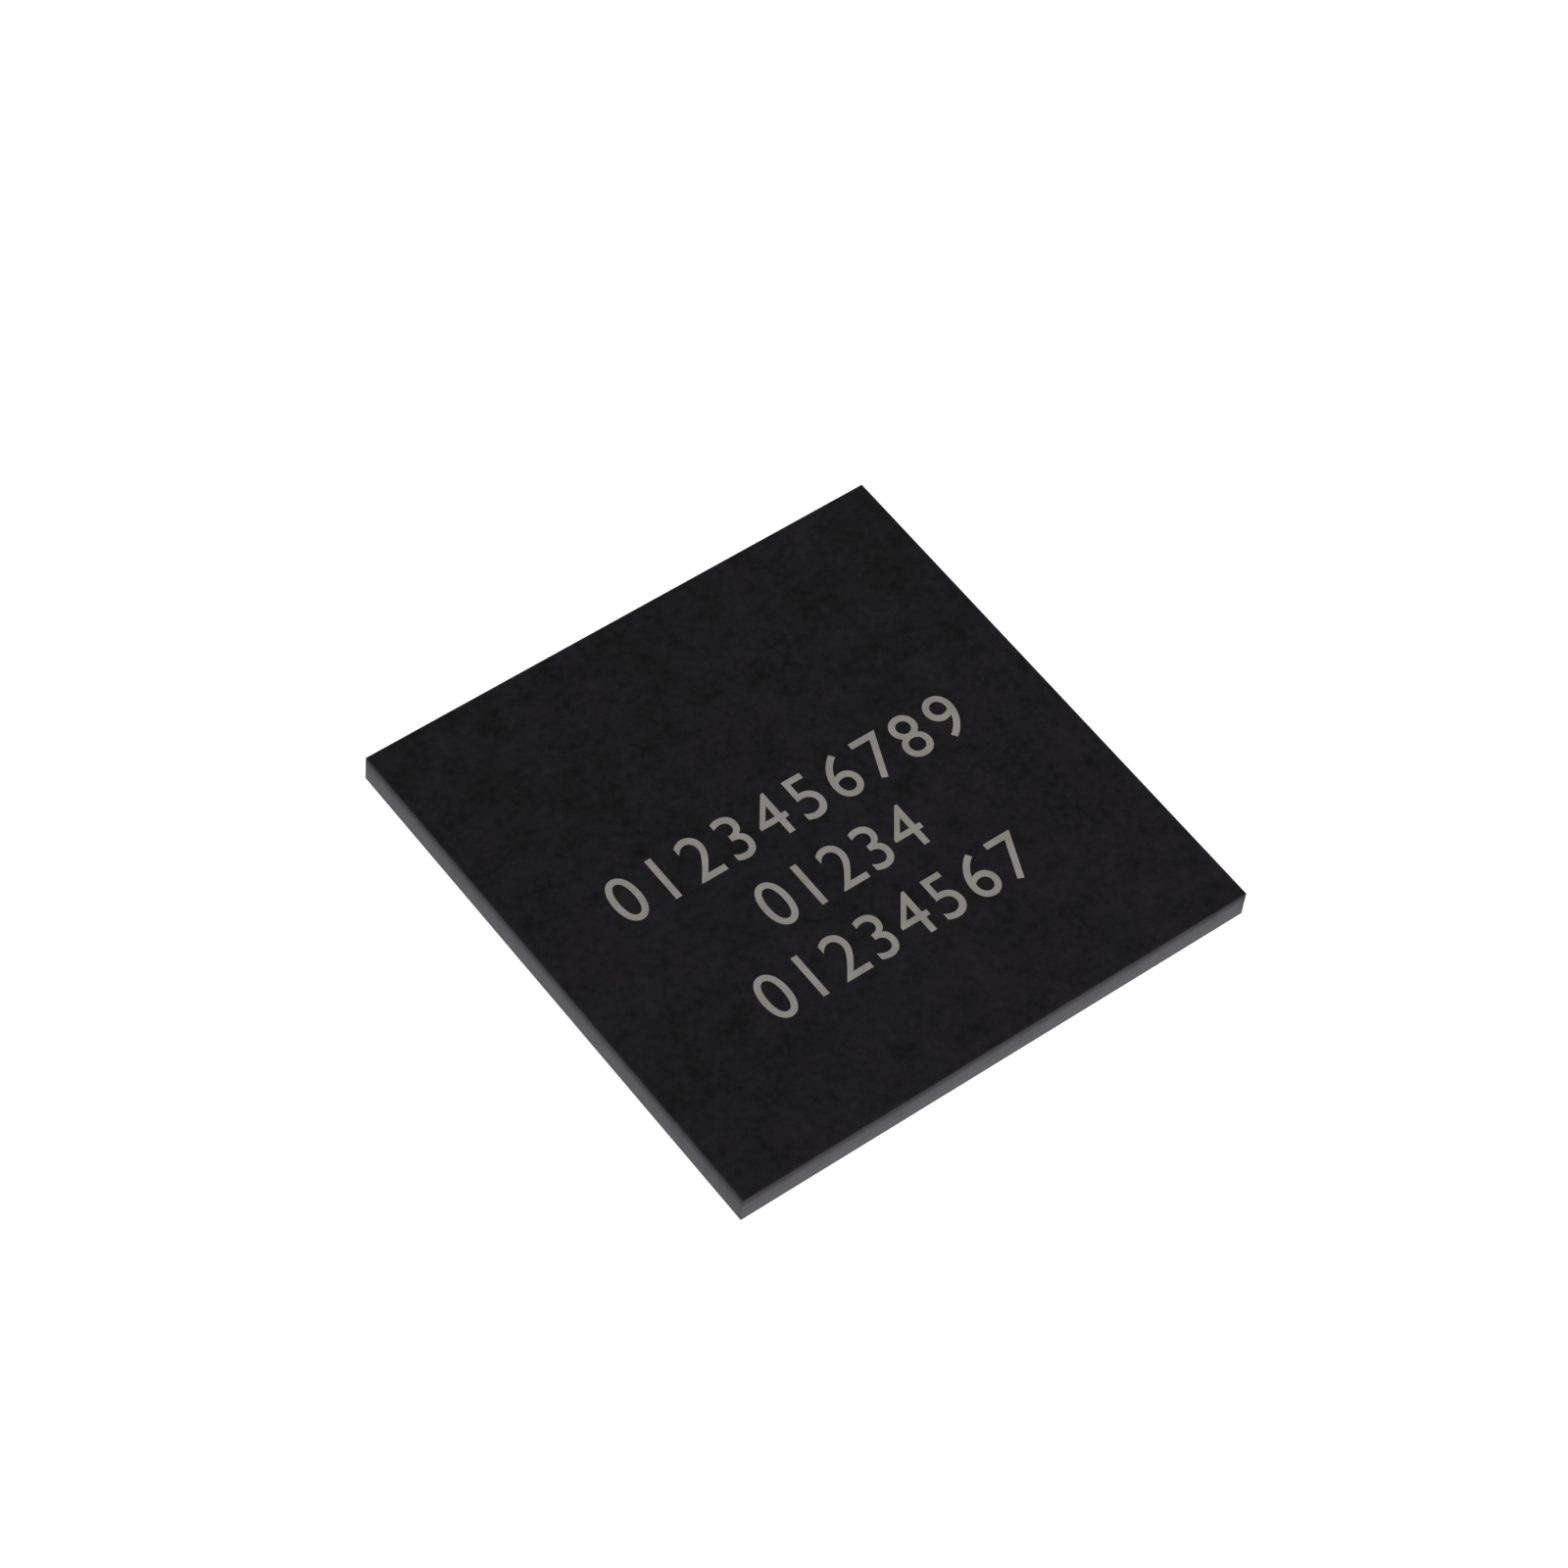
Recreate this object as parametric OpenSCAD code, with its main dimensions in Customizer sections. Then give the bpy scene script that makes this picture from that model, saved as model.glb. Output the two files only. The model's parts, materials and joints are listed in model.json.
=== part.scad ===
// Ball-grid-array chip package, 12 x 12 balls, moulded and sawn to size.
// The origin is under the middle of the package, on the plane of the ball
// tips. +Z is up, +X runs along a line of the marking on top, and ball A1 is
// at the -X +Y corner.

/* [Package] */
// Side of the square body
body_side = 10; // [9.9:0.1:12]
// Thickness of the moulded cap over the laminate
cap_t = 0.38; // [0.34:0.01:0.7]

/* [Solder balls] */
// Distance between neighbouring balls
ball_pitch = 0.8; // [0.79:0.005:0.81]
// Diameter of a ball
ball_d = 0.4; // [0.36:0.01:0.44]
// Diameter of the opening in the solder mask under a ball
opening_d = 0.3; // [0.26:0.01:0.32]
// How far a ball bulges over the edge of its opening
ball_lip = 0.015; // [0.005:0.005:0.015]
// Diameter of the copper land under a ball
land_d = 0.4; // [0.36:0.01:0.42]
// Leg of the copper triangle that marks the A1 corner
index_leg = 0.3; // [0.2:0.05:0.3]
// Distance from the body's edge to the triangle
index_edge = 0.1; // [0.05:0.05:0.15]

/* [Laminate] */
// Thickness of the glass-fibre core
core_t = 0.1; // [0.06:0.01:0.2]
// Thickness of each copper layer
copper_t = 0.015; // [0.012:0.001:0.02]
// Thickness of the solder mask over the copper
mask_t = 0.02; // [0.015:0.001:0.025]
// Diameter of a copper-filled via
via_d = 0.1; // [0.06:0.01:0.12]
// Diameter of the round land around a signal via
via_land_d = 0.2; // [0.16:0.01:0.22]
// Distance, along X and along Y, from a ball to its via
via_offset = 0.35; // [0.34:0.005:0.36]
// Width of the short track between a ball and its via
stub_w = 0.08; // [0.06:0.01:0.12]
// Width of a track on the top layer
track_w = 0.04; // [0.03:0.005:0.045]
// Distance between tracks that pass a row of vias
track_gap = 0.22; // [0.2:0.005:0.23]
// Distance from the body's diagonal line to the nearest track
diagonal_gap = 0.07; // [0.06:0.005:0.08]
// Side of the square copper plane under the middle balls
plane_side = 4.7; // [4.5:0.05:4.8]
// Side of the square copper paddle under the die
paddle_side = 4; // [3.6:0.1:4.2]
// Number of thermal vias along one side of their grid
thermal_vias = 5; // [1:1:5]
// Distance between thermal vias
thermal_pitch = 0.8; // [0.5:0.05:0.8]

/* [Bond fingers] */
// Distance from the middle of the package to the row of fingers
finger_row = 2.4; // [2.38:0.01:2.42]
// Length of a finger
finger_l = 0.2; // [0.18:0.01:0.22]
// Width of a finger
finger_w = 0.1; // [0.08:0.005:0.1]
// Distance between neighbouring fingers
finger_pitch = 0.2; // [0.19:0.005:0.2]
// Mask opening past the fingers on their inner side
window_inner = 0.1; // [0.08:0.01:0.12]
// Mask opening past the fingers on their outer side
window_outer = 0.04; // [0.02:0.01:0.06]

/* [Die] */
// Side of the square die
die_side = 3.4; // [3.2:0.05:3.5]
// Thickness of the die
die_t = 0.12; // [0.08:0.01:0.14]
// Thickness of the film that holds the die
film_t = 0.02; // [0.01:0.005:0.03]
// Side of a square bond pad
pad_side = 0.08; // [0.07:0.005:0.09]
// Thickness of a bond pad
pad_t = 0.006; // [0.004:0.001:0.008]
// Distance from the die's edge to the middle of the pads
pad_edge = 0.1; // [0.08:0.01:0.12]
// Distance from the die's side to the first pad of a row
pad_corner = 0.32; // [0.28:0.01:0.4]

/* [Bond wires] */
// Diameter of a wire
wire_d = 0.025; // [0.018:0.001:0.028]
// Part by which a wire is thicker at its crown than along its span
wire_step = 0.04; // [0.03:0.01:0.06]
// Diameter of the pressed ball that starts a wire
bond_d = 0.06; // [0.05:0.005:0.065]
// Height of the pressed ball
bond_t = 0.012; // [0.01:0.001:0.016]
// Height of the loop's crown over the pressed ball
loop_h = 0.09; // [0.08:0.005:0.1]
// Radius of the bend at the crown
bend_r = 0.04; // [0.03:0.005:0.045]
// Distance along a finger from its inner end to the stitch
stitch_at = 0.09; // [0.08:0.005:0.1]

/* [Hidden] */

$fn = 24;
cut = 0.05; // overshoot of a cutting shape past the face that it opens

// The grid: the outer three rings carry signals, the middle is grounded.
ball_count = 12;
ball_last = ball_count - 1;
signal_rings = 3;
first_ring = ball_count - signal_rings;
columns = 5; // columns of signal balls on one half of a side
function ball_at(i) = (i - ball_last / 2) * ball_pitch;
function ring_of(i, j) = max(abs(i - ball_last / 2), abs(j - ball_last / 2));
function is_signal(i, j) =
    ring_of(i, j) > ball_count / 2 - signal_rings
    && abs(ball_at(i)) != abs(ball_at(j));
function via_row(r) = ball_at(first_ring + r) + via_offset;
function via_col(c) = ball_at(ball_count / 2 + c) + via_offset;

// Heights, from the ball tips up.
ball_r = ball_d / 2;
seat_r = opening_d / 2 + ball_lip;
mask_bottom = ball_r + sqrt(ball_r * ball_r - seat_r * seat_r);
bottom_copper_z = mask_bottom + mask_t;
core_bottom = bottom_copper_z + copper_t;
core_top = core_bottom + core_t;
copper_top = core_top + copper_t;
mask_top = copper_top + mask_t;
die_bottom = mask_top + film_t;
die_top = die_bottom + die_t;
pad_top = die_top + pad_t;
body_top = mask_top + cap_t;

// The nets of half a side, from its middle outwards, as [column, ring].
nets = [
    for (c = [0 : columns - 1])
        for (r = [signal_rings - 1 : -1 : 0])
            if (c < signal_rings + r) [c, r]
];
pad_pitch = (die_side - 2 * pad_corner) / (2 * len(nets) - 1);
function pad_at(n) = [(n + 0.5) * pad_pitch, die_side / 2 - pad_edge];
function finger_x(n) = (n + 0.5) * finger_pitch;
function via_at(n) = [via_col(nets[n][0]), via_row(nets[n][1])];
function crossing(n, j) = [
    min(via_at(n)[0] - track_gap * (nets[n][1] - j), via_row(j) - diagonal_gap),
    via_row(j)
];
function route(n) = concat(
    [[finger_x(n), finger_row + finger_l / 2], [finger_x(n), finger_row + finger_l]],
    [for (j = [0 : 1 : nets[n][1] - 1]) crossing(n, j)],
    [via_at(n)]
);

// A line of even width along points, mitred at its corners.
function unit(v) = v / norm(v);
function left_of(v) = [-v[1], v[0]];
function mitre(p, i, d) =
    let (
        b = unit(i < len(p) - 1 ? p[i + 1] - p[i] : p[i] - p[i - 1]),
        a = i > 0 ? unit(p[i] - p[i - 1]) : b,
        m = unit(left_of(a) + left_of(b))
    )
    p[i] + m * d / (m * left_of(a));
function stroke(p, w) = concat(
    [for (i = [0 : len(p) - 1]) mitre(p, i, w / 2)],
    [for (i = [len(p) - 1 : -1 : 0]) mitre(p, i, -w / 2)]
);

// Both halves of the side that faces +Y, turned by angle.
module side_nets(angle) {
    rotate(angle)
        for (flip = [0, 1])
            mirror([flip, 0, 0])
                for (n = [0 : len(nets) - 1])
                    let ($net = n) children();
}

module all_nets() {
    for (angle = [0 : 90 : 270])
        side_nets(angle) children();
}

module ball_places() {
    for (i = [0 : ball_last])
        for (j = [0 : ball_last])
            translate([ball_at(i), ball_at(j), 0]) children();
}

module layer(bottom, top) {
    translate([0, 0, bottom])
        linear_extrude(top - bottom) children();
}

module plate(side, bottom, top) {
    translate([-side / 2, -side / 2, bottom])
        cube([side, side, top - bottom]);
}

// Finger, track and via land of every signal, with the paddle.
module top_copper_layer(bottom) {
    plate(paddle_side, bottom, copper_top);
    all_nets() {
        translate([finger_x($net) - finger_w / 2, finger_row, bottom])
            cube([finger_w, finger_l, copper_top - bottom]);
        layer(bottom, copper_top) polygon(stroke(route($net), track_w));
        translate([via_at($net)[0], via_at($net)[1], bottom])
            cylinder(d = via_land_d, h = copper_top - bottom);
    }
}

module index_plan() {
    corner = body_side / 2 - index_edge;
    polygon([
        [-corner, corner],
        [-corner, corner - index_leg],
        [-corner + index_leg, corner]
    ]);
}

// Ball lands with their stubs and via lands, the ground plane and the index.
module bottom_copper_layer(top) {
    plate(plane_side, bottom_copper_z, top);
    layer(bottom_copper_z, top) index_plan();
    for (i = [0 : ball_last])
        for (j = [0 : ball_last])
            if (ring_of(i, j) > ball_count / 2 - signal_rings)
                translate([ball_at(i), ball_at(j), 0])
                    land(via_offset * [sign(ball_at(i)), sign(ball_at(j))],
                         is_signal(i, j), top);
}

module land(to_via, has_via, top) {
    height = top - bottom_copper_z;
    translate([0, 0, bottom_copper_z]) cylinder(d = land_d, h = height);
    if (has_via) {
        layer(bottom_copper_z, top) polygon(stroke([[0, 0], to_via], stub_w));
        translate([to_via[0], to_via[1], bottom_copper_z])
            cylinder(d = via_land_d, h = height);
    }
}

module via_places() {
    all_nets() translate(via_at($net)) children();
    for (i = [0 : thermal_vias - 1])
        for (j = [0 : thermal_vias - 1])
            translate(thermal_pitch * [i - (thermal_vias - 1) / 2, j - (thermal_vias - 1) / 2])
                children();
}

// The ring that the mask leaves open around the fingers.
module window_plan() {
    difference() {
        square(2 * (finger_row + finger_l + window_outer), center = true);
        square(2 * (finger_row - window_inner), center = true);
    }
}

// A wire in the XZ plane: up from the pad at the origin, round the crown and
// straight down to the finger, where the finger's plane cuts it to a stitch.
// Each length starts inside the last one, which is thicker by wire_step.
module wire(span) {
    bend_z = pad_top + bond_t + loop_h - wire_d / 2 - bend_r;
    drop = bend_z - copper_top;
    reach = norm([span - bend_r, drop]);
    leave = acos(bend_r / reach) - atan2(drop, span - bend_r);
    run = sqrt(reach * reach - bend_r * bend_r);
    lap = wire_d / 10;
    past = 6 * wire_d;
    translate([0, 0, pad_top]) cylinder(d = bond_d, h = bond_t);
    translate([0, 0, pad_top])
        cylinder(d = wire_d * (1 + 2 * wire_step), h = bend_z + lap - pad_top);
    translate([bend_r, 0, bend_z])
        rotate([90, 0, 0])
            rotate([0, 0, leave])
                rotate_extrude(angle = 180 - leave)
                    translate([bend_r, 0]) circle(d = wire_d * (1 + wire_step));
    difference() {
        translate([bend_r + bend_r * cos(leave), 0, bend_z + bend_r * sin(leave)])
            rotate([0, 180 - leave, 0])
                translate([0, 0, -lap])
                    cylinder(d = wire_d, h = lap + run + past);
        translate([0, -wire_d, copper_top - past])
            cube([span + 2 * past, 2 * wire_d, past]);
    }
}

module wires(angle) {
    side_nets(angle) {
        pad = pad_at($net);
        foot = [finger_x($net), finger_row + stitch_at];
        way = foot - pad;
        translate(pad)
            rotate(atan2(way[1], way[0]))
                wire(norm(way));
    }
}

module bond_wires_north() { color("gold") wires(0); }
module bond_wires_west() { color("gold") wires(90); }
module bond_wires_south() { color("gold") wires(180); }
module bond_wires_east() { color("gold") wires(270); }

module silicon_die() {
    color("slategray") plate(die_side, die_bottom, die_top);
}

module die_attach_film() {
    color("goldenrod") plate(die_side, mask_top, die_bottom);
}

module die_bond_pads() {
    color("gainsboro")
        all_nets()
            translate([pad_at($net)[0], pad_at($net)[1], die_top + pad_t / 2])
                cube([pad_side, pad_side, pad_t], center = true);
}

// The moulding fills the body over the mask and the window down to the core.
module mold_cap() {
    color([0.13, 0.13, 0.14])
        difference() {
            union() {
                plate(body_side, mask_top, body_top);
                layer(core_top, mask_top + cut) window_plan();
            }
            top_copper_layer(core_top - cut);
            plate(die_side, mask_top - cut, die_top);
            die_bond_pads();
            bond_wires_north();
            bond_wires_west();
            bond_wires_south();
            bond_wires_east();
        }
}

module top_solder_mask() {
    color([0.08, 0.2, 0.14])
        difference() {
            plate(body_side, core_top, mask_top);
            top_copper_layer(core_top - cut);
            layer(core_top - cut, mask_top + cut) window_plan();
        }
}

module top_copper() {
    color("peru") top_copper_layer(core_top);
}

module laminate_core() {
    color([0.5, 0.48, 0.4])
        difference() {
            plate(body_side, core_bottom, core_top);
            via_places()
                translate([0, 0, core_bottom - cut])
                    cylinder(d = via_d, h = core_t + 2 * cut);
        }
}

module copper_vias() {
    color("peru")
        via_places()
            translate([0, 0, core_bottom]) cylinder(d = via_d, h = core_t);
}

module bottom_copper() {
    color("peru") bottom_copper_layer(core_bottom);
}

module bottom_solder_mask() {
    color([0.08, 0.2, 0.14])
        difference() {
            plate(body_side, mask_bottom, core_bottom);
            bottom_copper_layer(core_bottom + cut);
            layer(mask_bottom - cut, bottom_copper_z + copper_t / 2) index_plan();
            ball_places()
                translate([0, 0, mask_bottom - cut])
                    cylinder(d = opening_d, h = mask_t + cut + copper_t / 2);
        }
}

// A ball is flat where it meets the mask and fills the opening to its land.
module solder_ball() {
    intersection() {
        translate([0, 0, ball_r]) sphere(d = ball_d);
        plate(ball_d * 1.5, -cut, mask_bottom);
    }
    translate([0, 0, mask_bottom]) cylinder(d = opening_d, h = mask_t);
}

// Row 0 is row A, on the +Y side.
module ball_row(row) {
    color("silver")
        for (i = [0 : ball_last])
            translate([ball_at(i), -ball_at(row), 0]) solder_ball();
}

module solder_balls_row_a() { ball_row(0); }
module solder_balls_row_b() { ball_row(1); }
module solder_balls_row_c() { ball_row(2); }
module solder_balls_row_d() { ball_row(3); }
module solder_balls_row_e() { ball_row(4); }
module solder_balls_row_f() { ball_row(5); }
module solder_balls_row_g() { ball_row(6); }
module solder_balls_row_h() { ball_row(7); }
module solder_balls_row_j() { ball_row(8); }
module solder_balls_row_k() { ball_row(9); }
module solder_balls_row_l() { ball_row(10); }
module solder_balls_row_m() { ball_row(11); }

mold_cap();
silicon_die();
die_attach_film();
die_bond_pads();
bond_wires_south();
bond_wires_east();
bond_wires_north();
bond_wires_west();
top_solder_mask();
top_copper();
laminate_core();
copper_vias();
bottom_copper();
bottom_solder_mask();
solder_balls_row_a();
solder_balls_row_b();
solder_balls_row_c();
solder_balls_row_d();
solder_balls_row_e();
solder_balls_row_f();
solder_balls_row_g();
solder_balls_row_h();
solder_balls_row_j();
solder_balls_row_k();
solder_balls_row_l();
solder_balls_row_m();
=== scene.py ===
import json
import math

import bpy
from mathutils import Matrix, Vector

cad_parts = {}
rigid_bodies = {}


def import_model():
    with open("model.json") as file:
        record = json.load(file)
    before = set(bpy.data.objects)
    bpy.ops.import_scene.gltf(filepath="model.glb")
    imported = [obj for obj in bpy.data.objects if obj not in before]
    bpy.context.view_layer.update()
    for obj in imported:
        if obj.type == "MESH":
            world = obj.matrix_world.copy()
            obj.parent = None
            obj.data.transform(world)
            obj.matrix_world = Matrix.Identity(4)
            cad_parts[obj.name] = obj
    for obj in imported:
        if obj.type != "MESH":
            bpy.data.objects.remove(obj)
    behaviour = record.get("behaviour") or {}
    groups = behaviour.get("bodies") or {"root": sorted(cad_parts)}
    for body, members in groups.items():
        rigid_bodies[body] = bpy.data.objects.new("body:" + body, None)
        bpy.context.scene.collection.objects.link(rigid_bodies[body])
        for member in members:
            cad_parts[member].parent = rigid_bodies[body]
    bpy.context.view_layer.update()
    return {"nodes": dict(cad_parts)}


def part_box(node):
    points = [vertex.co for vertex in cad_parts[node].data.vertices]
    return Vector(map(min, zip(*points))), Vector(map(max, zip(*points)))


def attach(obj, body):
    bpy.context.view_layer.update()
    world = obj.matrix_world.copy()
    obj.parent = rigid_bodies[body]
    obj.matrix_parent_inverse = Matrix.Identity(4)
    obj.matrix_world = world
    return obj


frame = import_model()
nodes = frame["nodes"]
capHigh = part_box("mold_cap")[1]
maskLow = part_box("bottom_solder_mask")[0]
halfSide = capHigh.x
topZ = capHigh.z
mm = 0.001
print("frame loaded:", len(nodes), "nodes, side", round(2 * halfSide / mm, 3), "mm")


# One socket of a shader tree. Sums with it add Math nodes to the tree.
class Value:
    def __init__(self, shader, socket):
        self.shader = shader
        self.socket = socket

    def maths(self, operation, *others):
        return self.shader.maths(operation, self, *others)

    def __add__(self, other):
        return self.maths("ADD", other)

    def __radd__(self, other):
        return self.shader.maths("ADD", other, self)

    def __sub__(self, other):
        return self.maths("SUBTRACT", other)

    def __rsub__(self, other):
        return self.shader.maths("SUBTRACT", other, self)

    def __mul__(self, other):
        return self.maths("MULTIPLY", other)

    def __rmul__(self, other):
        return self.shader.maths("MULTIPLY", other, self)

    def __truediv__(self, other):
        return self.maths("DIVIDE", other)

    def __gt__(self, other):
        return self.maths("GREATER_THAN", other)

    def __abs__(self):
        return self.maths("ABSOLUTE")

    def largest(self, other):
        return self.maths("MAXIMUM", other)


# A material and the nodes that its shader is made of.
class Shader:
    def __init__(self, name):
        self.material = bpy.data.materials.new(name)
        self.material.use_nodes = True
        self.tree = self.material.node_tree
        self.tree.nodes.clear()
        self.coords = self.node("ShaderNodeTexCoord", output="Object")
        split = self.node("ShaderNodeSeparateXYZ", inputs={"Vector": self.coords}, output="X")
        outs = split.socket.node.outputs
        self.x, self.y, self.z = [Value(self, outs[axis]) for axis in "XYZ"]

    # Settings go in first, then what each socket holds or is linked to.
    def node(self, kind, settings=None, inputs=None, output=0):
        made = self.tree.nodes.new(kind)
        for key, value in (settings or {}).items():
            setattr(made, key, value)
        for key, value in (inputs or {}).items():
            if isinstance(value, Value):
                self.tree.links.new(value.socket, made.inputs[key])
            else:
                made.inputs[key].default_value = value
        return Value(self, made.outputs[output])

    def maths(self, operation, *values):
        return self.node("ShaderNodeMath", {"operation": operation}, dict(enumerate(values)))

    def smooth(self, value, low, high):
        return self.node("ShaderNodeMapRange", {"interpolation_type": "SMOOTHSTEP"},
                         {"Value": value, "From Min": low, "From Max": high})

    # Noise whose grains are about size metres, or one size for each axis.
    def noise(self, size, detail=2.0, rough=0.5, shift=0.0):
        sizes = size if isinstance(size, tuple) else (size, size, size)
        placed = self.node("ShaderNodeMapping", {"vector_type": "POINT"},
                           {"Vector": self.coords, "Location": (shift, shift, shift),
                            "Scale": tuple(1 / s for s in sizes)})
        return self.node("ShaderNodeTexNoise", {"noise_dimensions": "3D"},
                         {"Vector": placed, "Scale": 1.0, "Detail": detail, "Roughness": rough})

    def mix(self, factor, first, second):
        return self.node("ShaderNodeMix", {"data_type": "RGBA", "clamp_factor": True},
                         {0: factor, 6: tint(first), 7: tint(second)}, 2)

    # The colour made lighter or darker by a factor.
    def scaled(self, color, factor):
        return self.node("ShaderNodeVectorMath", {"operation": "SCALE"},
                         {0: color, "Scale": factor}, "Vector")

    def bump(self, height, depth, strength=0.5):
        return self.node("ShaderNodeBump", {},
                         {"Height": height, "Distance": depth, "Strength": strength}, "Normal")

    def surface(self, **inputs):
        names = {"color": "Base Color", "rough": "Roughness", "metal": "Metallic",
                 "specular": "Specular IOR Level", "normal": "Normal"}
        shader = self.node("ShaderNodeBsdfPrincipled", {},
                           {names[key]: tint(value) if key == "color" else value
                            for key, value in inputs.items()}, "BSDF")
        return self.finish(shader)

    def finish(self, shader):
        out = self.tree.nodes.new("ShaderNodeOutputMaterial")
        self.tree.links.new(shader.socket, out.inputs["Surface"])
        return self.material


def colour(rgb):
    return (*rgb[:3], 1.0)


def tint(value):
    return value if isinstance(value, Value) else colour(value)


def dress(material, *names):
    for name in names:
        mesh = nodes[name].data
        mesh.materials.clear()
        mesh.materials.append(material)


sawLook = {
    "skin": 0.002 * mm,  # how deep under a side its look reaches
    "lineLength": 0.9 * mm,
    "lineWidth": 0.012 * mm,
    "depth": 0.004 * mm,
}


# How far out a point is, towards the nearest side.
def reach(shader):
    return abs(shader.x).largest(abs(shader.y))


# 1 on the sawn sides of the package and 0 elsewhere.
def sawnSide(shader):
    return reach(shader) > halfSide - sawLook["skin"]


# Fine lines left by the saw, along the side and a little uneven.
def sawLines(shader):
    length, width = sawLook["lineLength"], sawLook["lineWidth"]
    return shader.noise((length, length, width), 3.0, 0.6, 3.1)


capLook = {
    "top": (0.0100, 0.0079, 0.0110),
    "topCool": (0.0078, 0.0079, 0.0100),
    "sawn": (0.099, 0.093, 0.107),
    "sawnWarm": (0.092, 0.089, 0.096),
    # Widths of the colour ramp over the top edge, from the top's colour into the sawn side's.
    "edgeRampTop": 0.04 * mm,
    "edgeRampSide": 0.26 * mm,
    "edgeRampStart": 0.16,  # how far the very edge is from the top's colour to the sawn one
    "drift": 0.06,  # how much more of the warm tint there is towards -Y
    "paintedLightSlope": 0.10,  # painted light: how much lighter the top gets towards -Y
    "patchSize": 1.6 * mm,
    "patchEdges": (0.4, 0.6),  # where the noise starts and ends turning from one tint to the other
    "blotchSize": 0.45 * mm,
    "blotch": 2.4,
    "speckSize": 0.14 * mm,
    "speck": 2.4,
    "sawnDark": 0.55,  # the darkest that lines and blotches make a side
    "sawnSwing": 0.45,
    "grainSize": 0.03 * mm,
    "grainHeight": 0.6,  # beside the saw lines' 1
    "rough": 0.62,
    "roughSwing": 0.1,
    "roughSawn": 0.15,
    "specular": 0.22,
}


def capMaterial(look):
    s = Shader("mouldCompound")
    side = sawnSide(s)
    # Over the edge the top's colour passes into the sawn side's colour, across a narrow band of the
    # top and a wider band down the side.
    edge = look["edgeRampStart"]
    onTop = edge * (1 - s.smooth(halfSide - reach(s), 0.0, look["edgeRampTop"]))
    onSide = edge + (1 - edge) * s.smooth(topZ - s.z, 0.0, look["edgeRampSide"])
    patches = s.noise(look["patchSize"], 3.0, 0.6)
    blotches = s.noise(look["blotchSize"], 2.0, 0.5, 1.7)
    specks = s.noise(look["speckSize"], 2.0, 0.5, 2.9)
    grain = s.noise(look["grainSize"], 2.0, 0.6, 0.4)
    toFront = -1 * s.y / halfSide
    warm = patches + look["drift"] * toFront
    shade = 1 + look["blotch"] * (blotches - 0.5) + look["speck"] * (specks - 0.5)
    # Painted light: the top's colour is made lighter towards -Y.
    shade = shade + look["paintedLightSlope"] * toFront
    top = s.scaled(s.mix(s.smooth(warm, *look["patchEdges"]), look["topCool"], look["top"]), shade)
    lines = sawLines(s)
    sawn = s.mix(s.smooth(patches, *look["patchEdges"]), look["sawn"], look["sawnWarm"])
    sawn = s.scaled(sawn, look["sawnDark"] + look["sawnSwing"] * (lines + blotches))
    color = s.mix(side * onSide + (1 - side) * onTop, top, sawn)
    rough = look["rough"] - look["roughSwing"] * (grain - 0.5) + look["roughSawn"] * side
    height = look["grainHeight"] * grain * (1 - side) + lines * side
    return s.surface(color=color, rough=rough, specular=look["specular"],
                     normal=s.bump(height, sawLook["depth"]))


dress(capMaterial(capLook), "mold_cap")
print("moulded cap dressed")

markLook = {
    "lines": [("0123456789", 1.18), ("01234", 1.07), ("01234567", 1.12)],  # digits, spacing
    "digitHeight": 0.92 * mm,
    "firstBase": 0.02 * mm,
    "linePitch": 1.385 * mm,
    "condense": 0.95,
    "proud": 0.001 * mm,  # above the top
    "sunk": 0.01 * mm,  # into the top, so that nothing shines through
    "color": (0.45, 0.427, 0.392),
    "speckSize": 0.02 * mm,
    "waveSize": 0.5 * mm,
    "shade": 0.5,  # half the light comes and goes with the specks and waves
    "depth": 0.003 * mm,
    "strength": 0.6,
    "rough": 0.85,
    "specular": 0.2,
}
digitShare = 0.729  # height of a digit as a part of the type's size
weldReach = 1e-8  # points nearer than this, in metres, become one


def markMaterial(look):
    s = Shader("laserMark")
    speckle = s.noise(look["speckSize"], 2.0, 0.7)
    wave = s.noise(look["waveSize"], 2.0, 0.5, 2.2)
    shade = look["shade"] * (1 + speckle + wave)
    return s.surface(color=s.scaled(look["color"], shade), rough=look["rough"],
                     specular=look["specular"],
                     normal=s.bump(speckle, look["depth"], look["strength"]))


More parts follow.
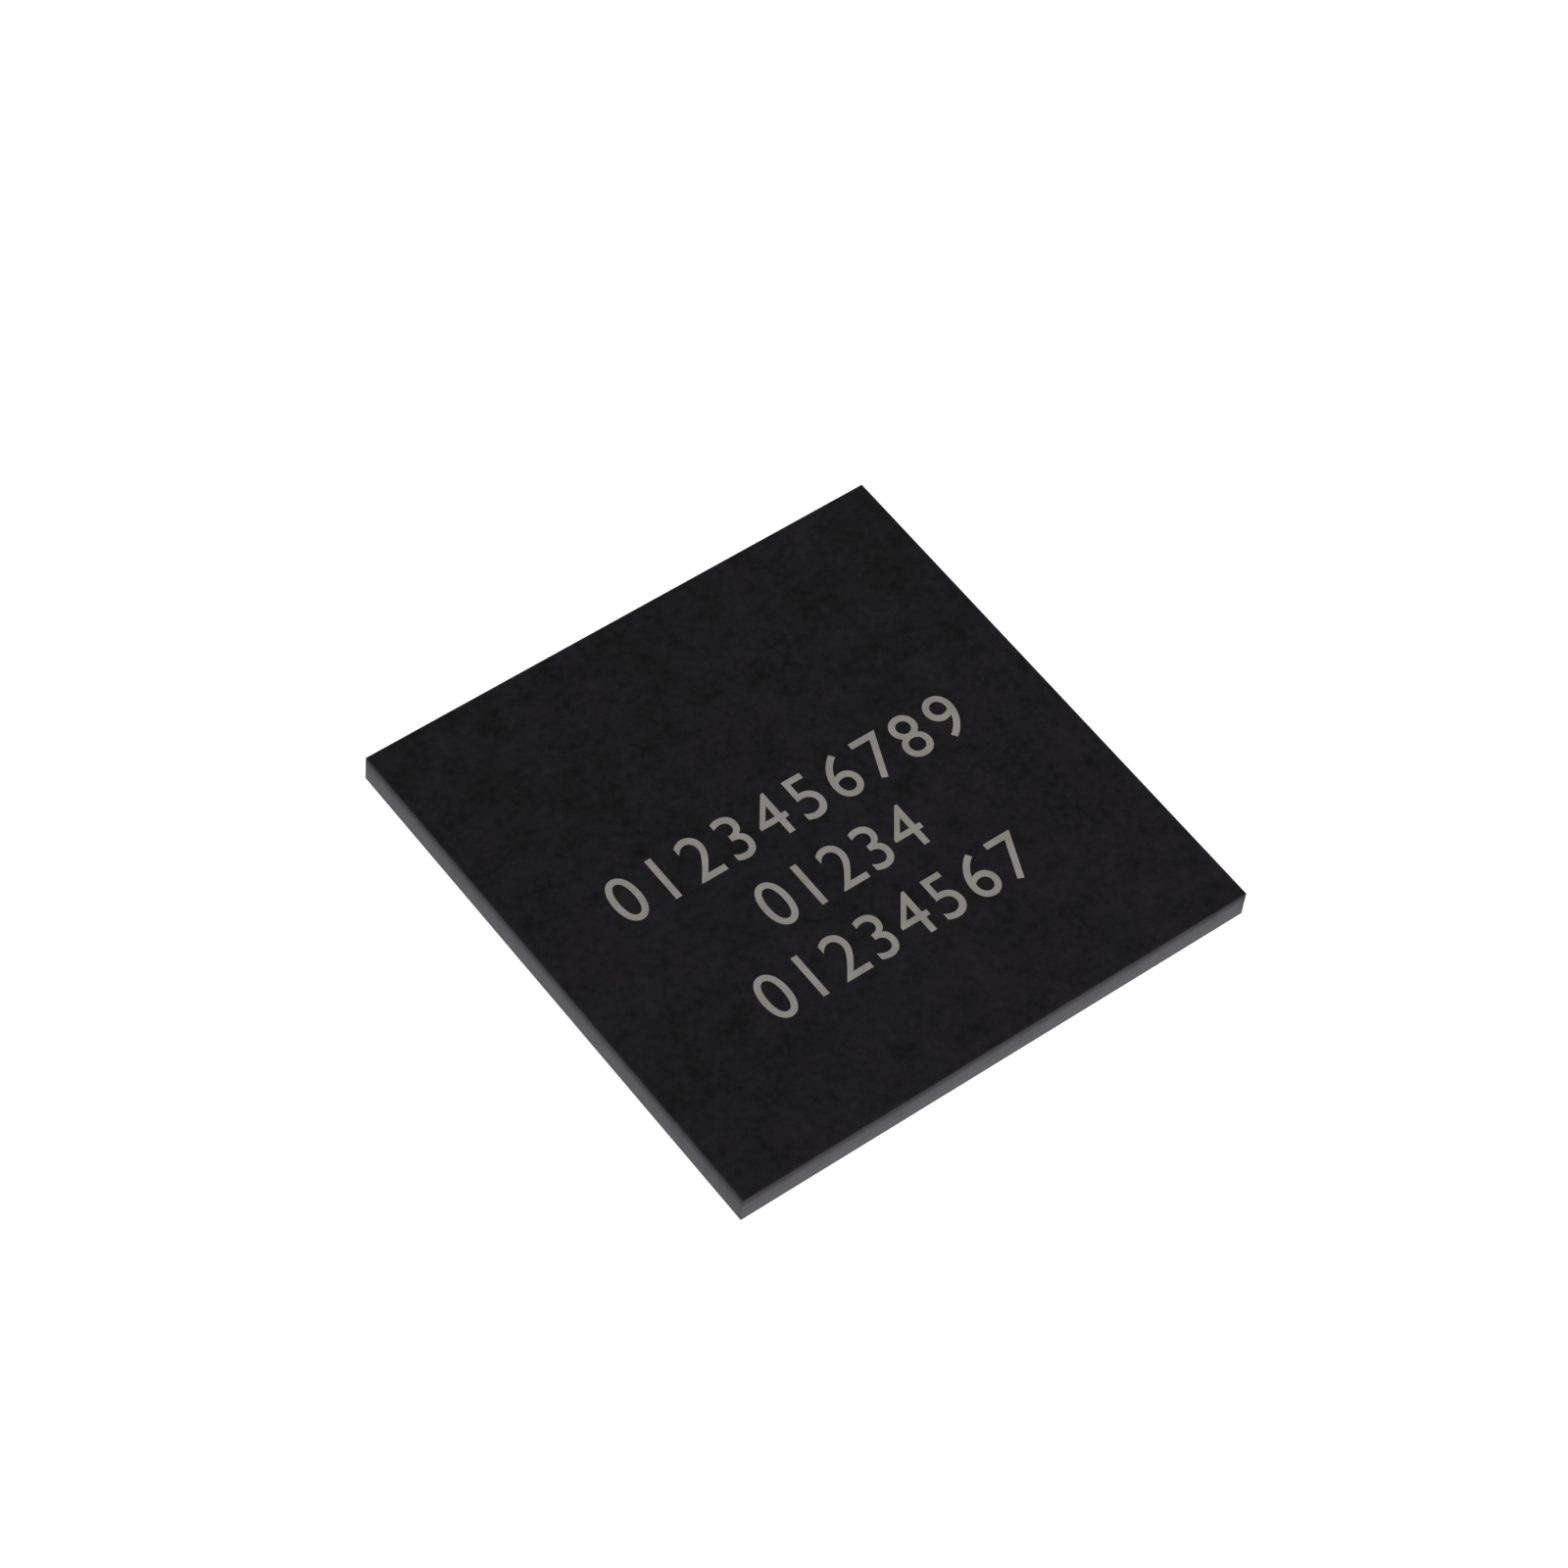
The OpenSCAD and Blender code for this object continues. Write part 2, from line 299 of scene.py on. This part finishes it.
# A geometry tree: a group input for each named value, and one output.
class Tree:
    def __init__(self, name, values):
        self.group = bpy.data.node_groups.new(name, "GeometryNodeTree")
        face = self.group.interface
        face.new_socket("Geometry", in_out="INPUT", socket_type="NodeSocketGeometry")
        kinds = {str: "NodeSocketString", int: "NodeSocketInt", float: "NodeSocketFloat"}
        self.ids = {}
        for key, value in values.items():
            made = face.new_socket(key, in_out="INPUT", socket_type=kinds[type(value)])
            self.ids[key] = made.identifier
        face.new_socket("Geometry", in_out="OUTPUT", socket_type="NodeSocketGeometry")
        self.values = values
        self.inputs = self.group.nodes.new("NodeGroupInput")

    def node(self, kind, settings=None, inputs=None, output=0):
        made = self.group.nodes.new(kind)
        for key, value in (settings or {}).items():
            setattr(made, key, value)
        for key, value in (inputs or {}).items():
            for item in value if isinstance(value, list) else [value]:
                if isinstance(item, bpy.types.NodeSocket):
                    self.group.links.new(item, made.inputs[key])
                else:
                    made.inputs[key].default_value = item
        return made.outputs[output]

    def given(self, key):
        return self.inputs.outputs[key]

    # Runs the tree on an empty mesh and keeps the result as a plain mesh.
    def build(self, name, geometry, material):
        real = self.node("GeometryNodeRealizeInstances", {}, {0: geometry})
        real = self.node("GeometryNodeSetMaterial", {}, {0: real, "Material": material})
        end = self.group.nodes.new("NodeGroupOutput")
        self.group.links.new(real, end.inputs[0])
        seed = bpy.data.objects.new(name + "Seed", bpy.data.meshes.new(name + "Seed"))
        bpy.context.scene.collection.objects.link(seed)
        modifier = seed.modifiers.new(name, "NODES")
        modifier.node_group = self.group
        for key, value in self.values.items():
            modifier[self.ids[key]] = value
        bpy.context.view_layer.update()
        graph = bpy.context.evaluated_depsgraph_get()
        mesh = bpy.data.meshes.new_from_object(seed.evaluated_get(graph))
        mesh.name = name
        bpy.data.objects.remove(seed)
        made = bpy.data.objects.new(name, mesh)
        bpy.context.scene.collection.objects.link(made)
        return made


# Flat shapes in the XY plane become closed plates of the given thickness.
def thicken(tree, flat, thickness):
    lift = tree.node("ShaderNodeCombineXYZ", {}, {"Z": thickness})
    raised = tree.node("GeometryNodeExtrudeMesh", {"mode": "FACES"},
                       {0: flat, "Offset": lift, "Offset Scale": 1.0, "Individual": False})
    under = tree.node("GeometryNodeFlipFaces", {}, {0: flat})
    both = tree.node("GeometryNodeJoinGeometry", {}, {0: [raised, under]})
    return tree.node("GeometryNodeMergeByDistance", {}, {0: both, "Distance": weldReach})


def markingLine(look, row, material):
    text, spacing = look["lines"][row]
    size = look["digitHeight"] / digitShare
    base = look["firstBase"] - row * look["linePitch"]
    tree = Tree(f"markingLine{row + 1}", {
        "Digits": text, "Size": size, "Spacing": spacing,
        "Condense": look["condense"], "Thickness": look["proud"] + look["sunk"],
        "Base": base, "Height": topZ - look["sunk"],
    })
    glyphs = tree.node("GeometryNodeStringToCurves", {"align_x": "CENTER", "align_y": "TOP_BASELINE"},
                       {"String": tree.given("Digits"), "Size": tree.given("Size"),
                        "Character Spacing": tree.given("Spacing")})
    flat = tree.node("GeometryNodeFillCurve", {"mode": "TRIANGLES"}, {0: glyphs})
    flat = tree.node("GeometryNodeRealizeInstances", {}, {0: flat})
    plates = thicken(tree, flat, tree.given("Thickness"))
    scale = tree.node("ShaderNodeCombineXYZ", {}, {"X": tree.given("Condense"), "Y": 1.0, "Z": 1.0})
    place = tree.node("ShaderNodeCombineXYZ", {}, {"Y": tree.given("Base"), "Z": tree.given("Height")})
    placed = tree.node("GeometryNodeTransform", {},
                       {0: plates, "Translation": place, "Scale": scale})
    made = tree.build(f"markingLine{row + 1}", placed, material)
    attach(made, "root")
    return made


markMade = markMaterial(markLook)
marks = [markingLine(markLook, row, markMade) for row in range(len(markLook["lines"]))]
print("marking made:", [len(m.data.polygons) for m in marks], "faces")

laminateLook = {
    "resin": (0.30, 0.27, 0.19),
    "glass": (0.42, 0.40, 0.33),
    "sawn": (0.092, 0.089, 0.095),
    "sawnGlass": (0.107, 0.104, 0.109),
    "weaveLength": 0.25 * mm,
    "weaveHeight": 0.03 * mm,
    "weaveEdges": (0.4, 0.62),
    "fibreHeight": 0.5,  # beside the saw lines' 1
    "rough": 0.7,
    "roughGlass": 0.1,
    "specular": 0.25,
}


def laminateMaterial(look):
    s = Shader("laminateCore")
    side = sawnSide(s)
    weave = s.noise((look["weaveLength"], look["weaveLength"], look["weaveHeight"]), 2.0, 0.5)
    fibre = s.smooth(weave, *look["weaveEdges"])
    flat = s.mix(fibre, look["resin"], look["glass"])
    sawn = s.mix(fibre, look["sawn"], look["sawnGlass"])
    height = sawLines(s) + look["fibreHeight"] * fibre
    return s.surface(color=s.mix(side, flat, sawn), rough=look["rough"] + look["roughGlass"] * fibre,
                     specular=look["specular"], normal=s.bump(height, sawLook["depth"]))


dress(laminateMaterial(laminateLook), "laminate_core")

maskLook = {
    "overCopper": (0.012, 0.075, 0.036),
    "green": (0.006, 0.045, 0.022),
    "deep": (0.004, 0.032, 0.017),
    "sawn": (0.087, 0.089, 0.091),
    "cloudSize": 0.8 * mm,
    "peelSize": 0.12 * mm,
    "depth": 0.003 * mm,
    "strength": 0.6,
    "rough": 0.32,
    "roughPeel": 0.1,
    "roughSawn": 0.35,
    "specular": 0.5,
}
cloudEdges = (0.35, 0.65)  # on the masks and the metals


def maskMaterial(name, look, light, dark):
    s = Shader(name)
    side = sawnSide(s)
    cloud = s.noise(look["cloudSize"], 3.0, 0.5)
    peel = s.noise(look["peelSize"], 2.0, 0.5, 0.9)
    flat = s.mix(s.smooth(cloud, *cloudEdges), look[light], look[dark])
    rough = look["rough"] + look["roughPeel"] * peel + look["roughSawn"] * side
    return s.surface(color=s.mix(side, flat, look["sawn"]), rough=rough,
                     specular=look["specular"], normal=s.bump(peel, look["depth"], look["strength"]))


dress(maskMaterial("solderMask", maskLook, "green", "deep"), "top_solder_mask", "bottom_solder_mask")
print("laminate and masks dressed")

rowNames = sorted(name for name in nodes if name.startswith("solder_balls"))
rowLow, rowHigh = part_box(rowNames[0])
ballSize = rowHigh.y - rowLow.y
ballPitch = (rowHigh.x - rowLow.x - ballSize) / (len(rowNames) - 1)

reliefLook = {
    "height": 0.006 * mm,
    "slope": 0.012 * mm,
    "landRadius": 0.205 * mm,
    "viaRadius": 0.105 * mm,
    "viaOffset": 0.35 * mm,
    "stubWidth": 0.09 * mm,
    "planeSide": 4.71 * mm,
    "rings": 3,  # of balls outside the plane
    "landCorners": 32,
    "viaCorners": 20,
    "stubDrop": 0.9,  # at 1 a stub would be level with its land
}


# The mask stands a little proud over the copper under it: a land round every
# outer ball, with a stub to its via, and the plane under the middle balls.
def maskRelief(look, material):
    count = len(rowNames)
    tree = Tree("maskRelief", {
        "Count": count, "Side": ballPitch * (count - 1),
        "Inner": ballPitch * (count / 2 - look["rings"]), "Near": ballPitch / 4,
        "Land": look["landRadius"], "Via": look["viaRadius"],
        "Reach": look["viaOffset"] * math.sqrt(2), "Stub": look["stubWidth"],
        "Plane": look["planeSide"] / math.sqrt(2), "Slope": look["slope"],
        "Height": look["height"], "Bottom": maskLow.z,
    })
    given = tree.given

    # A low round or square hill that hangs down from z = 0.
    def hill(radius, corners, turn=0.0):
        foot = tree.node("ShaderNodeMath", {"operation": "ADD"}, {0: radius, 1: given("Slope")})
        cone = tree.node("GeometryNodeMeshCone", {},
                         {"Vertices": corners, "Radius Top": foot, "Radius Bottom": radius,
                          "Depth": given("Height")})
        down = tree.node("ShaderNodeMath", {"operation": "MULTIPLY"}, {0: given("Height"), 1: -1.0})
        move = tree.node("ShaderNodeCombineXYZ", {}, {"Z": down})
        return tree.node("GeometryNodeTransform", {},
                         {0: cone, "Translation": move, "Rotation": (0.0, 0.0, turn)})

    land = hill(given("Land"), look["landCorners"])
    via = hill(given("Via"), look["viaCorners"])
    toVia = tree.node("ShaderNodeCombineXYZ", {}, {"X": given("Reach")})
    via = tree.node("GeometryNodeTransform", {}, {0: via, "Translation": toVia})
    barSize = tree.node("ShaderNodeCombineXYZ", {},
                        {"X": given("Reach"), "Y": given("Stub"), "Z": given("Height")})
    bar = tree.node("GeometryNodeMeshCube", {}, {"Size": barSize})
    half = tree.node("ShaderNodeVectorMath", {"operation": "SCALE"}, {0: barSize, "Scale": 0.5})
    toBar = tree.node("ShaderNodeVectorMath", {"operation": "MULTIPLY"},
                      {0: half, 1: (1.0, 0.0, -look["stubDrop"])})
    bar = tree.node("GeometryNodeTransform", {}, {0: bar, "Translation": toBar})
    stub = tree.node("GeometryNodeJoinGeometry", {}, {0: [via, bar]})

    grid = tree.node("GeometryNodeMeshGrid", {},
                     {"Size X": given("Side"), "Size Y": given("Side"),
                      "Vertices X": given("Count"), "Vertices Y": given("Count")})
    away = tree.node("ShaderNodeVectorMath", {"operation": "ABSOLUTE"},
                     {0: tree.node("GeometryNodeInputPosition")})
    split = tree.node("ShaderNodeSeparateXYZ", {}, {0: away}).node
    ring = tree.node("ShaderNodeMath", {"operation": "MAXIMUM"},
                     {0: split.outputs["X"], 1: split.outputs["Y"]})
    outer = tree.node("ShaderNodeMath", {"operation": "GREATER_THAN"}, {0: ring, 1: given("Inner")})
    # The outer balls on the diagonals have a land but no stub.
    across = tree.node("ShaderNodeMath", {"operation": "SUBTRACT"},
                       {0: split.outputs["X"], 1: split.outputs["Y"]})
    diagonal = tree.node("ShaderNodeMath", {"operation": "COMPARE"},
                         {0: across, 1: 0.0, 2: given("Near")})
    signal = tree.node("ShaderNodeMath", {"operation": "SUBTRACT"}, {0: outer, 1: diagonal})

    # Every stub points away from the middle of the package, at 45 degrees.
    signs = tree.node("ShaderNodeVectorMath", {"operation": "SIGN"},
                      {0: tree.node("GeometryNodeInputPosition")})
    sides = tree.node("ShaderNodeSeparateXYZ", {}, {0: signs}).node
    turn = tree.node("ShaderNodeMath", {"operation": "ARCTAN2"},
                     {0: sides.outputs["Y"], 1: sides.outputs["X"]})
    spin = tree.node("ShaderNodeCombineXYZ", {}, {"Z": turn})
    stubs = tree.node("GeometryNodeInstanceOnPoints", {},
                      {"Points": grid, "Selection": signal, "Instance": stub, "Rotation": spin})
    lands = tree.node("GeometryNodeInstanceOnPoints", {},
                      {"Points": grid, "Selection": outer, "Instance": land})
    plane = hill(given("Plane"), 4, math.radians(45))
    joined = tree.node("GeometryNodeJoinGeometry", {}, {0: [stubs, lands, plane]})
    place = tree.node("ShaderNodeCombineXYZ", {}, {"Z": given("Bottom")})
    placed = tree.node("GeometryNodeTransform", {}, {0: joined, "Translation": place})
    made = tree.build("maskRelief", placed, material)
    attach(made, "root")
    return made


relief = maskRelief(reliefLook, maskMaterial("raisedMask", maskLook, "overCopper", "green"))
print("mask relief made:", len(relief.data.polygons), "faces")


metalLooks = {
    "copperFoil": {"base": (0.75, 0.36, 0.22), "worn": (0.62, 0.28, 0.17),
                   "cloudSize": 0.3 * mm, "rough": 0.38, "swing": 0.2},
    "platedCopper": {"base": (0.92, 0.68, 0.32), "worn": (0.85, 0.58, 0.26),
                     "cloudSize": 0.3 * mm, "rough": 0.3, "swing": 0.15},
    "goldWire": {"base": (0.95, 0.68, 0.26), "worn": (0.90, 0.60, 0.22),
                 "cloudSize": 0.1 * mm, "rough": 0.22, "swing": 0.1},
    "padAluminium": {"base": (0.82, 0.83, 0.85), "worn": (0.74, 0.75, 0.77),
                     "cloudSize": 0.05 * mm, "rough": 0.35, "swing": 0.2},
    "solder": {"base": (0.60, 0.60, 0.61), "worn": (0.44, 0.44, 0.45),
               "cloudSize": 0.16 * mm, "rough": 0.34, "swing": 0.22},
}
grainShare = 1 / 8  # size of the grain in a metal as a part of its clouds' size
depthShare = 1 / 40  # and the grain's depth


def metalMaterial(name):
    look = metalLooks[name]
    s = Shader(name)
    size = look["cloudSize"]
    cloud = s.noise(size, 3.0, 0.6)
    grain = s.noise(size * grainShare, 2.0, 0.6, 1.3)
    return s.surface(color=s.mix(s.smooth(cloud, *cloudEdges), look["base"], look["worn"]),
                     rough=look["rough"] + look["swing"] * (cloud + grain - 1),
                     metal=1.0, normal=s.bump(grain, size * depthShare))


dress(metalMaterial("copperFoil"), "top_copper", "copper_vias")
dress(metalMaterial("platedCopper"), "bottom_copper")
dress(metalMaterial("goldWire"),
      "bond_wires_south", "bond_wires_east", "bond_wires_north", "bond_wires_west")
dress(metalMaterial("padAluminium"), "die_bond_pads")
dress(metalMaterial("solder"), *rowNames)
print("metals dressed:", len(rowNames), "rows of balls")

dieLook = {
    "base": (0.10, 0.11, 0.13),
    "worn": (0.14, 0.14, 0.16),
    "cloudSize": 0.6 * mm,
    "rough": 0.2,
    "swing": 0.1,
    "metal": 0.6,
}

filmLook = {
    "base": (0.36, 0.22, 0.07),
    "worn": (0.28, 0.17, 0.05),
    "cloudSize": 0.4 * mm,
    "rough": 0.4,
    "swing": 0.1,
    "metal": 0.0,
}


def plainMaterial(name, look):
    s = Shader(name)
    cloud = s.noise(look["cloudSize"], 2.0, 0.5)
    return s.surface(color=s.mix(cloud, look["base"], look["worn"]),
                     rough=look["rough"] + look["swing"] * cloud, metal=look["metal"])


dress(plainMaterial("silicon", dieLook), "silicon_die")
dress(plainMaterial("attachFilm", filmLook), "die_attach_film")
print("die and film dressed")

stageLook = {
    "floorSide": 8.0,
    "floorColor": (0.30, 0.30, 0.30),
    "floorRough": 0.9,
    "floorSpecular": 0.1,
    "floorGlow": 1.0,
    "sky": 0.42,
    "lightPower": 0.9,
    "lightSize": 0.5,
    "lightPlace": (0.15, -0.55, 0.45),
}
white = (1.0, 1.0, 1.0, 1.0)


# A white floor that glows. Seen from below it is clear.
def makeFloor(look):
    half = look["floorSide"] / 2
    mesh = bpy.data.meshes.new("floor")
    mesh.from_pydata([(-half, -half, 0), (half, -half, 0), (half, half, 0), (-half, half, 0)],
                     [], [(0, 1, 2, 3)])
    floor = bpy.data.objects.new("floor", mesh)
    bpy.context.scene.collection.objects.link(floor)
    s = Shader("paleFloor")
    lit = s.node("ShaderNodeBsdfPrincipled", {},
                 {"Base Color": colour(look["floorColor"]), "Roughness": look["floorRough"],
                  "Specular IOR Level": look["floorSpecular"], "Emission Color": white,
                  "Emission Strength": look["floorGlow"]})
    below = s.node("ShaderNodeNewGeometry", output="Backfacing")
    clear = s.node("ShaderNodeBsdfTransparent")
    mesh.materials.append(s.finish(s.node("ShaderNodeMixShader", {}, {0: below, 1: lit, 2: clear})))


# A round lamp that faces the middle of the part.
def makeLight(look):
    place = Vector(look["lightPlace"])
    data = bpy.data.lights.new("softBox", "AREA")
    data.shape = "DISK"
    data.size = look["lightSize"]
    data.energy = look["lightPower"]
    light = bpy.data.objects.new("softBox", data)
    light.location = place
    light.rotation_euler = (-place).to_track_quat("-Z", "Y").to_euler()
    bpy.context.scene.collection.objects.link(light)


# The sky lights the part softly, and behind the floor it shows as a white backdrop.
def makeSky(strength):
    world = bpy.data.worlds.new("studio")
    world.use_nodes = True
    tree = world.node_tree
    light = tree.nodes["Background"]
    light.inputs["Color"].default_value = white
    light.inputs["Strength"].default_value = strength
    backdrop = tree.nodes.new("ShaderNodeBackground")
    backdrop.inputs["Color"].default_value = white
    seen = tree.nodes.new("ShaderNodeLightPath").outputs["Is Camera Ray"]
    both = tree.nodes.new("ShaderNodeMixShader")
    for start, end in ((seen, 0), (light.outputs[0], 1), (backdrop.outputs[0], 2)):
        tree.links.new(start, both.inputs[end])
    tree.links.new(both.outputs[0], tree.nodes["World Output"].inputs["Surface"])
    bpy.context.scene.world = world


cameraLook = {
    "azimuth": -42.96,
    "elevation": 54.01,
    "roll": 7.10,
    "distance": 86.18 * mm,
    "lens": 124.04,
    "sensor": 36.0,
    "aim": (0.211 * mm, 0.839 * mm),
    "near": 0.005,
    "far": 10.0,
}


def makeCamera(look):
    turn, lift = math.radians(look["azimuth"]), math.radians(look["elevation"])
    back = Vector((math.sin(turn) * math.cos(lift), -math.cos(turn) * math.cos(lift), math.sin(lift)))
    aim = Vector((*look["aim"], topZ))
    data = bpy.data.cameras.new("camera")
    data.lens = look["lens"]
    data.sensor_width = look["sensor"]
    data.clip_start = look["near"]
    data.clip_end = look["far"]
    camera = bpy.data.objects.new("camera", data)
    level = (-back).to_track_quat("-Z", "Y").to_matrix()
    rolled = level @ Matrix.Rotation(math.radians(look["roll"]), 3, "Z")
    camera.matrix_world = Matrix.Translation(aim + back * look["distance"]) @ rolled.to_4x4()
    bpy.context.scene.collection.objects.link(camera)
    bpy.context.scene.camera = camera


makeFloor(stageLook)
makeSky(stageLook["sky"])
makeLight(stageLook)
makeCamera(cameraLook)
bpy.context.scene.view_settings.view_transform = "Standard"
print("stage set")
